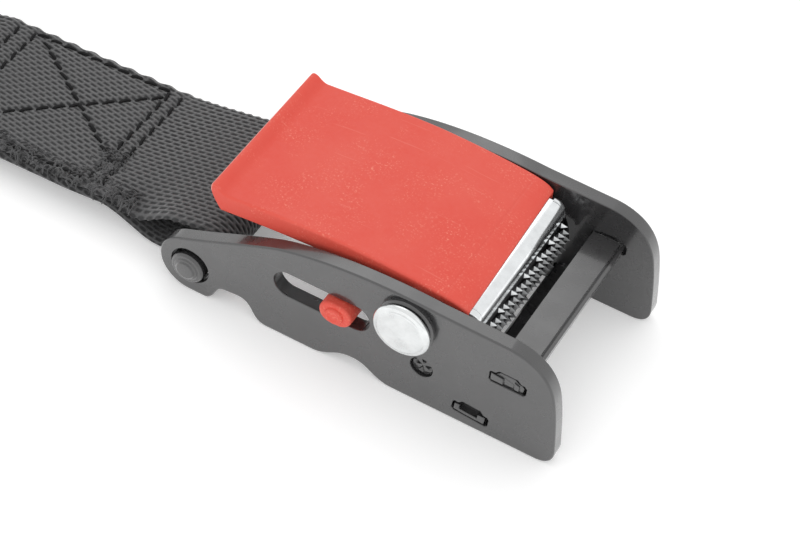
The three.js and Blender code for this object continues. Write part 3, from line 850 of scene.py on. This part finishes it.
BAR_REACH = FRAME_INNER + 1
rod = [
    (0, -BAR_REACH), (LOCK_RADIUS, -BAR_REACH), (LOCK_RADIUS, BAR_REACH), (0, BAR_REACH),
]
make_piece("lock_cross_bar", Parts().add(*lathe(softened(rod, 0.3), LOCK_X, LOCK_Z)), ZINC,
           "lock", ["lock_bar"])

BUTTON_LENGTH = 7.2
BUTTON_HEIGHT = 5.6


def lock_button(label, side):
    """Moulded button with a low dished boss on its face."""
    top, back = side * HEAD_TOP, side * (FRAME_INNER - 1)
    face = top - side * 0.55
    rim = obround(LOCK_X - BUTTON_LENGTH / 2, LOCK_X + BUTTON_LENGTH / 2, LOCK_Z, BUTTON_HEIGHT, False)
    low, high = min(face, back), max(face, back)
    rounds = (0.7, 0.2) if side < 0 else (0.2, 0.7)
    parts = Parts().add(*slab([rim], low, high, *rounds))
    boss = [
        (0, top - side * 0.15), (1.0, top - side * 0.15), (1.2, top), (1.75, top), (1.95, top - side * 0.2),
        (2.0, face + side * 0.02), (2.0, face - side * 0.5), (0, face - side * 0.5),
    ]
    parts.add(*lathe(softened(boss, 0.12), LOCK_X, LOCK_Z))
    return make_piece(f"{label}_button", parts, RED, "lock", [f"lock_button_{label}"])


lock_button("near", -1)
lock_button("far", 1)


def lock_spring(label, y):
    """Extension spring from the lock bar to the stop pin, with a short straight lead at each end."""
    start = Vector((LOCK_X + LOCK_RADIUS + 0.9, y, LOCK_Z))
    end = Vector((STOP_X - STOP_RADIUS - 0.9, y, STOP_Z))
    along = (end - start).normalized()
    side = Vector((0, 1, 0))
    up = along.cross(side)
    first, last = start + along * 1.6, end - along * 1.6
    turns, per_turn = 9, 20
    path = [start, start + along * 0.6]
    for i in range(turns * per_turn + 1):
        angle = TURN * i / per_turn
        middle = first.lerp(last, i / (turns * per_turn))
        path.append(middle + side * 1.3 * math.cos(angle) + up * 1.3 * math.sin(angle))
    path += [end - along * 0.6, end]
    piece = make_piece(f"{label}_lock_spring", Parts().add(*tube(path, 0.4, 12)), WIRE,
                       None, [f"lock_spring_{label}"], sharp=80)
    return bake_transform(piece)


LOCK_SPRING_Y = 13.5
lock_spring("near", -LOCK_SPRING_Y)
lock_spring("far", LOCK_SPRING_Y)


def return_spring():
    """Torsion spring about the axle, with one leg on the stop pin and one inside the nose."""
    half, turns, per_turn, coil = 5.6, 6.5, 24, 3.95
    path = [(0.9, -half, 11.6), (-1.6, -half, 14.4)]
    for i in range(int(turns * per_turn) + 1):
        angle = math.pi * 1.25 - TURN * i / per_turn
        y = -half + 2 * half * i / (turns * per_turn)
        path.append((coil * math.cos(angle), y, AXLE_Z + coil * math.sin(angle)))
    path.append((4.2, half, 18.4))
    return make_piece("lever_spring", Parts().add(*tube(path, 0.45, 12)), WIRE,
                      "lever", ["return_spring"], sharp=80)


return_spring()

# ---- Webbing strap ----

WEB = 1.5              # thickness of the webbing
LAYER_GAP = 0.06       # the two sewn layers don't quite touch
SEAM_START = -73.5     # where the two layers of the loop come together
SEAM_START_Z = 6.8     # height of the seam there
SEAM_FALL = 1.4        # and how far it has fallen where the lower layer ends
NEAR_SAG = 2.8         # the upper layer's near edge sinks this far beside the buckle
LAYER_SLIP = 0.9       # the lower layer is sewn this far towards the near side
VIEW_END = -128.0      # the strap is finely woven up to here, just outside the picture
RIBS = 32
RELIEF = 0.17          # height of the ribs


def seam_height(x):
    """Height of the middle between the two sewn layers."""
    return SEAM_START_Z - SEAM_FALL * (SEAM_START - x) / (SEAM_START - SEAM_END)


def strap_line():
    """Middle of the strap's thickness: lower layer, round the pin, upper layer, run and roll."""
    half = WEB / 2 + LAYER_GAP / 2
    radius = ANCHOR_RADIUS + 0.4 + WEB / 2
    line = Outline(SEAM_END, seam_height(SEAM_END) - half)
    line.line(SEAM_START, seam_height(SEAM_START) - half)
    line.curve(-68, SEAM_START_Z - half - 1.2, -65, 1.0, -60.5, 1.0)
    low, high = -0.62 * math.pi, 0.54 * math.pi
    foot = (ANCHOR_X + radius * math.cos(low), ANCHOR_Z + radius * math.sin(low))
    line.curve(-57, 1.0, foot[0] - 2.5, foot[1] - 0.6, *foot)
    line.arc(ANCHOR_X, ANCHOR_Z, radius, low, high)
    x, z = line.points[-1]
    top = seam_height(SEAM_START) + half
    line.curve(x - 6, z - 0.75, SEAM_START + 7, top + 0.7, SEAM_START, top)
    line.line(SEAM_END, seam_height(SEAM_END) + half)
    line.curve(-130, 3.9, -137, WEB / 2, -146, WEB / 2).line(ROLL_X, WEB / 2)
    outer, pitch, turns = ROLL_Z - WEB / 2, WEB + 0.06, 14.6
    steps = int(turns * 90)
    for i in range(1, steps + 1):
        turned = turns * i / steps
        angle = -math.pi / 2 - TURN * turned
        reach = outer - pitch * turned
        line.points.append((ROLL_X + reach * math.cos(angle), ROLL_Z + reach * math.sin(angle)))
    return [Vector(p) for p in line.points]


def measured(line):
    """Distance along the line at each of its points."""
    travelled = [0.0]
    for a, b in zip(line, line[1:]):
        travelled.append(travelled[-1] + (b - a).length)
    return travelled


def stations(line, travelled):
    """Evenly spaced places on the strap: close together where it is seen, wider apart in the roll."""
    visible_from = next(t for p, t in zip(line, travelled) if p.x > ANCHOR_X)
    seen = [t for p, t in zip(line, travelled) if t > visible_from and p.x > VIEW_END]
    visible_to = seen[-1] if seen else travelled[-1]
    placed, s, index = [], 0.0, 0
    while s < travelled[-1]:
        while travelled[index + 1] < s:
            index += 1
        share = (s - travelled[index]) / (travelled[index + 1] - travelled[index])
        tangent = (line[index + 1] - line[index]).normalized()
        fine = visible_from - 6 < s < visible_to
        placed.append((s, line[index].lerp(line[index + 1], share), tangent, fine))
        s += 0.36 if fine else (1.2 if s <= visible_to else 2.4)
    return placed


def lean(x):
    """How far the ribs have wandered across the strap at X: they slant where it is sewn."""
    return -0.2 * max(0, SEAM_START - max(x, SEAM_END))


def near_sag(x, y):
    """How far the upper layer's near edge sinks between the sewing and the anchor pin."""
    share = (x - SEAM_START) / (ANCHOR_X - 8 - SEAM_START)
    if not 0 < share < 1:
        return 0
    return NEAR_SAG * math.sin(math.pi * share) ** 2 * max(0, -y / WEB_HALF) ** 3


def rib_height(s, across):
    """Height of the weave: 1 on a rib and 0 in the dips, which are staggered between the ribs."""
    row = across / RIB + 0.5
    step = s / DASH + math.floor(row) * 0.5
    dip = math.sin(math.pi * (step - math.floor(step)))
    away = min(1, abs(row - math.floor(row) - 0.5) * 2 * GAP)
    return 1 - (1 - away * away) * (0.12 + 0.88 * min(1, max(0, (dip - 0.1) / 0.7)))


ROWS = (-75.4, -78.5, -113.2, -117.5)      # X of the cross rows of stitches
EDGE_ROW = 15.6                            # Y of the long rows
ROW_REACH = 15.9
DIAGONALS = (((-110.5, 14.5), (-76.5, -9.3)), ((-110.5, -13.2), (-78.6, 13.6)))


def stitch_lines():
    """Straight rows of stitches on the upper layer, as pairs of X and Y ends."""
    lines = [((x, -ROW_REACH), (x, ROW_REACH)) for x in ROWS]
    lines += [((ROWS[1], side * EDGE_ROW), (ROWS[2], side * EDGE_ROW)) for side in (-1, 1)]
    return lines + list(DIAGONALS)


def groove(x, y):
    """How far the thread pulls the cloth down at a point, from 0 to 1."""
    nearest = 9.0
    point = Vector((x, y))
    for start, end in stitch_lines():
        a, b = Vector(start), Vector(end)
        share = min(1, max(0, (point - a).dot(b - a) / (b - a).length_squared))
        nearest = min(nearest, (point - a.lerp(b, share)).length)
    return math.exp(-((nearest / 0.75) ** 2))


def webbing_strap():
    line = strap_line()
    travelled = measured(line)
    placed = stations(line, travelled)
    fine_columns, coarse_columns = RIBS * 5, RIBS
    points, faces, uv, rings = [], [], [], []
    pin_side = next(t for p, t in zip(line, travelled) if p.x > ANCHOR_X)
    for s, middle, tangent, fine in placed:
        columns = fine_columns if fine else coarse_columns
        edge = 5 if fine else 1
        normal = Vector((-tangent.y, tangent.x))
        on_top = s > pin_side and SEAM_END < middle.x < SEAM_START + 1
        sewn = SEAM_END < middle.x < SEAM_START
        period = 4.9 if sewn else 2.1
        depth = 0.5 if sewn else 0.3
        scallop = depth * (0.5 + 0.5 * math.cos(TURN * s / period)) if fine else 0.16
        drift = lean(middle.x)
        relief = RELIEF * (0.7 if sewn else 1)
        slip = 0 if s > pin_side else LAYER_SLIP * min(1, max(0, (SEAM_START + 8 - middle.x) / 16))
        reach = WEB_HALF - 0.05 - scallop
        first = len(points)
        for upper in (False, True):
            sign = 1 if upper else -1
            for i in range(columns + edge):
                if i < columns:
                    share = i / columns
                    y = reach * (2 * share - 1) * (1 if upper else -1)
                    height = WEB / 2 - RELIEF
                    near_edge = max(0, (abs(y) - reach + 0.9) / 0.9)
                    height *= math.sqrt(max(0.08, 1 - near_edge**2))
                    if fine:
                        height += relief * rib_height(s, y + drift) * (1 - near_edge)
                    if fine and on_top and not upper:
                        height -= 0.36 * groove(middle.x, y)
                else:
                    share = (i - columns) / edge
                    y = reach * (1 if upper else -1) * (1 + 0.018 * math.sin(math.pi * share))
                    flat = (WEB / 2 - RELIEF) * math.sqrt(0.08)
                    height = flat * (1 - 2 * share)
                spot = middle + normal * height * sign
                sag = near_sag(middle.x, y) if s > pin_side else 0
                points.append((spot.x, y - slip, spot.y - sag))
                uv.append((s, y + drift))
        rings.append((first, columns, edge))
    close_rings(rings, faces)
    parts = Parts().add(points, faces)
    strap = make_piece("webbing_strap", parts, WEBBING, "webbing",
                       ["webbing_loop", "webbing_run", "webbing_roll"], sharp=85, uv=uv)
    return strap, travelled[-1] * MM


def close_rings(rings, faces):
    """Joins each ring of the strap to the next; where the spacing changes, one long side meets five."""
    for (a, a_columns, a_edge), (b, b_columns, b_edge) in zip(rings, rings[1:]):
        a_count, b_count = 2 * (a_columns + a_edge), 2 * (b_columns + b_edge)
        sides = min(a_count, b_count)
        a_step, b_step = a_count // sides, b_count // sides
        for i in range(sides):
            from_a = [a + (i * a_step + k) % a_count for k in range(a_step + 1)]
            from_b = [b + (i * b_step + k) % b_count for k in range(b_step + 1)]
            faces.append(tuple(from_a + from_b[::-1]))
    for first, columns, edge in (rings[0], rings[-1]):
        faces.append(tuple(range(first, first + 2 * (columns + edge))))


strap, strap_length = webbing_strap()

# ---- Stitching and loose thread ----


def strap_top(x):
    """Height of the strap's upper surface at X, on the sewn part."""
    return seam_height(x) + WEB + LAYER_GAP / 2


STITCH = 3.4           # length of a stitch
STITCH_SWING = 0.28    # a stitch runs this far to each side of its row
THREAD_RADIUS = 0.32


def stitching():
    parts = Parts()
    for start, end in stitch_lines():
        a, b = Vector(start), Vector(end)
        aside = (b - a).orthogonal().normalized() * STITCH_SWING
        count = max(2, round((b - a).length / STITCH))
        for i in range(count):
            path = []
            for k in range(9):
                share = (i + 0.11 + 0.78 * k / 8) / count
                spot = a.lerp(b, share) + aside * (k / 4 - 1)
                lift = -0.72 + 0.70 * math.sin(math.pi * k / 8) ** 0.5
                path.append((spot.x, spot.y, strap_top(spot.x) + lift))
            parts.add(*tube(path, THREAD_RADIUS * random.uniform(0.9, 1.15), 8))
    return make_piece("strap_stitching", parts, THREAD, "webbing", sharp=80)


def loose_thread():
    """Fuzzed loops along the worn near edge, and a tangle where the sewing ends."""
    parts = Parts()
    low, high, middle = -WEB_HALF - 0.6, -WEB_HALF + 4.5, -WEB_HALF + 0.4
    spots = [(random.uniform(-122, -66), random.triangular(low, high, middle)) for _ in range(360)]
    spots += [(random.gauss(-77, 1.8), random.gauss(-9.2, 2.6)) for _ in range(90)]
    for x, y in spots:
        turn = random.gauss(0.3, 0.9)
        size = random.uniform(0.6, 1.4)
        bend = random.uniform(0.5, 1.4)
        path = []
        for k in range(7):
            t = k / 6
            ahead = (t - 0.5) * size * 2
            aside = math.sin(math.pi * t) * size * bend * 0.6
            px = x + ahead * math.cos(turn) - aside * math.sin(turn)
            py = max(-WEB_HALF - 1.1, y + ahead * math.sin(turn) + aside * math.cos(turn))
            lift = -0.35 + 0.42 * math.sin(math.pi * t) - 1.3 * max(0, -WEB_HALF - py)
            path.append((px, py, strap_top(px) + lift))
        parts.add(*tube(path, random.uniform(0.14, 0.24), 6))
    return make_piece("strap_fray", parts, WEBBING_THREAD, "webbing", sharp=80)


def loose_fibre():
    fibre = Surface("webbing_fibre", Sheen_Weight=0.3)
    shade = fibre.noise(2.5, 3)
    colour = fibre.mix(fibre.spread(shade, 0.35, 0.65), (0.016, 0.016, 0.017, 1), (0.085, 0.085, 0.087, 1))
    return fibre.finish(colour, fibre.spread(shade, 0.3, 0.7, 0.75, 0.92))


WEBBING_THREAD = loose_fibre()
stitching()
loose_thread()

# ---- Floor, light and camera ----

FLOOR_GLOW = 0.24      # keeps the floor near white round the object
WORLD_LIGHT = 0.97
EYE = (AXLE_X + 0.1228, -0.29568, 0.36434)
AZIMUTH, ELEVATION, ROLL = (math.radians(v) for v in (24.73, 47.66, 6.616))
LENS = 108
SENSOR = 36


def studio():
    floor_mesh = bpy.data.meshes.new("floor")
    size = 3.0
    corners = [(-size, -size, 0), (size, -size, 0), (size, size, 0), (-size, size, 0)]
    floor_mesh.from_pydata(corners, [], [(0, 1, 2, 3)])
    floor = bpy.data.objects.new("floor", floor_mesh)
    bpy.context.scene.collection.objects.link(floor)
    ground = Surface("pale_floor", Roughness=0.9, Specular_IOR_Level=0.1)
    shade = ground.mix(ground.noise(60), (0.93, 0.93, 0.93, 1), (0.95, 0.95, 0.95, 1))
    ground.shader.inputs["Emission Color"].default_value = (1, 1, 1, 1)
    ground.shader.inputs["Emission Strength"].default_value = FLOOR_GLOW
    floor_mesh.materials.append(ground.finish(shade))
    world = bpy.data.worlds.new("studio")
    world.use_nodes = True
    world.node_tree.nodes["Background"].inputs["Color"].default_value = (1, 1, 1, 1)
    world.node_tree.nodes["Background"].inputs["Strength"].default_value = WORLD_LIGHT
    bpy.context.scene.world = world


def softbox(name, place, aim, size, power):
    lamp = bpy.data.lights.new(name, "AREA")
    lamp.shape = "RECTANGLE"
    lamp.size, lamp.size_y = size
    lamp.energy = power
    holder = bpy.data.objects.new(name, lamp)
    holder.location = place
    holder.rotation_euler = (Vector(aim) - Vector(place)).to_track_quat("-Z", "Y").to_euler()
    bpy.context.scene.collection.objects.link(holder)


def camera():
    """The photograph's view: azimuth and elevation of the eye, turned a little about its own axis."""
    right = Vector((math.cos(AZIMUTH), math.sin(AZIMUTH), 0))
    level = Vector((math.sin(AZIMUTH), -math.cos(AZIMUTH), 0))
    back = level * math.cos(ELEVATION) + Vector((0, 0, math.sin(ELEVATION)))
    up = back.cross(right)
    across = right * math.cos(ROLL) + up * math.sin(ROLL)
    upward = up * math.cos(ROLL) - right * math.sin(ROLL)
    data = bpy.data.cameras.new("camera")
    data.lens = LENS
    data.sensor_width = SENSOR
    data.clip_start = 0.01
    eye = bpy.data.objects.new("camera", data)
    turn = Matrix((across, upward, back)).transposed().to_4x4()
    eye.matrix_world = Matrix.Translation(EYE) @ turn
    bpy.context.scene.collection.objects.link(eye)
    bpy.context.scene.camera = eye


studio()
middle = (AXLE_X, 0, 0.02)
softbox("key", (AXLE_X - 0.5, 0.55, 0.9), middle, (0.7, 0.5), 1.0)
softbox("fill", (AXLE_X + 0.9, -0.5, 0.7), middle, (0.8, 0.8), 0.4)
camera()
bpy.context.scene.view_settings.view_transform = "Standard"
